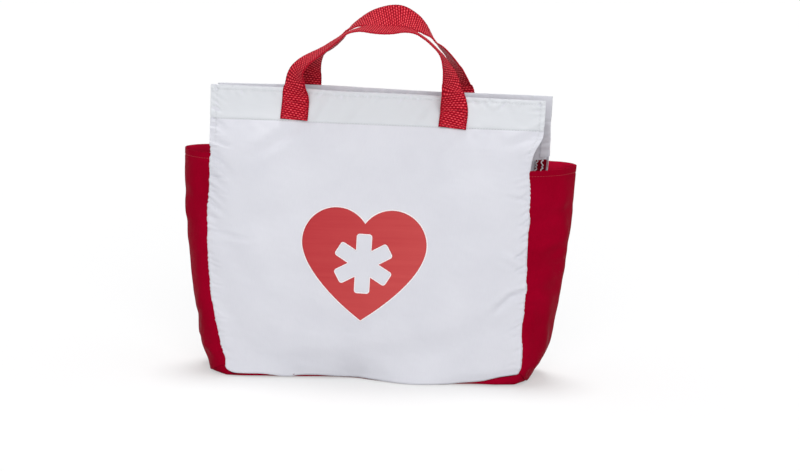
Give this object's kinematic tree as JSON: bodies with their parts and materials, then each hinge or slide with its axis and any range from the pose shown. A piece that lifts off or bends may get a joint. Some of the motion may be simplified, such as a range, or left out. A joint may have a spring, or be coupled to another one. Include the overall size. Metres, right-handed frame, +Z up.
{
  "type": "toy doctor bag",
  "caption": "Soft fabric toy doctor's tote with white panels, red gussets and bottom, sewn red webbing handles and a printed heart and star.",
  "frame": {"origin": "on the floor, under the middle of the bag's waist, half way between its front and back panels", "axes": "+X to the bag's right as seen from its printed front, +Y to the back, +Z up"},
  "size_m": [0.362, 0.0849, 0.3418],
  "materials": {
    "white_cloth": "thin plain-woven polyester, slight sheen",
    "red_cloth": "thin plain-woven polyester, slight sheen",
    "seam_cloth": "overlocked raw edge with white thread",
    "webbing": "ribbed polypropylene webbing, low sheen",
    "red_thread": "polyester sewing thread",
    "print_ink": "matt screen-printed ink"
  },
  "bodies": {
    "bag": {"front_panel": "white_cloth", "back_panel": "white_cloth", "bottom_panel": "red_cloth", "left_gusset": "red_cloth", "right_gusset": "red_cloth", "left_gusset_hem": "red_cloth", "right_gusset_hem": "red_cloth", "front_left_seam": "seam_cloth", "front_right_seam": "seam_cloth", "back_left_seam": "seam_cloth", "back_right_seam": "seam_cloth", "front_base_seam": "seam_cloth", "back_base_seam": "seam_cloth", "heart_print": "print_ink"},
    "front_mouth": {"front_mouth_panel": "white_cloth", "front_mouth_hem": "white_cloth", "front_left_edge_hem": "white_cloth", "front_right_edge_hem": "white_cloth", "front_handle_ends": "webbing", "front_handle_stitching": "red_thread"},
    "back_mouth": {"back_mouth_panel": "white_cloth", "back_mouth_hem": "white_cloth", "back_left_edge_hem": "white_cloth", "back_right_edge_hem": "white_cloth", "back_handle_ends": "webbing", "back_handle_stitching": "red_thread"},
    "front_handle_loop": {"front_handle": "webbing"},
    "back_handle_loop": {"back_handle": "webbing"}
  },
  "joints": [
    {"name": "front_mouth_fold", "type": "hinge", "parent": "bag", "child": "front_mouth", "pos_m": [0, -0.0254, 0.2144], "axis": [1, 0, 0], "range_deg": [0, 50]},
    {"name": "back_mouth_fold", "type": "hinge", "parent": "bag", "child": "back_mouth", "pos_m": [0, 0.0254, 0.2144], "axis": [-1, 0, 0], "range_deg": [0, 50]},
    {"name": "front_handle_flop", "type": "hinge", "parent": "front_mouth", "child": "front_handle_loop", "pos_m": [0, -0.01243, 0.26589], "axis": [1, 0, 0], "range_deg": [0, 135]},
    {"name": "back_handle_flop", "type": "hinge", "parent": "back_mouth", "child": "back_handle_loop", "pos_m": [0, 0.01243, 0.26589], "axis": [-1, 0, 0], "range_deg": [0, 135]}
  ]
}
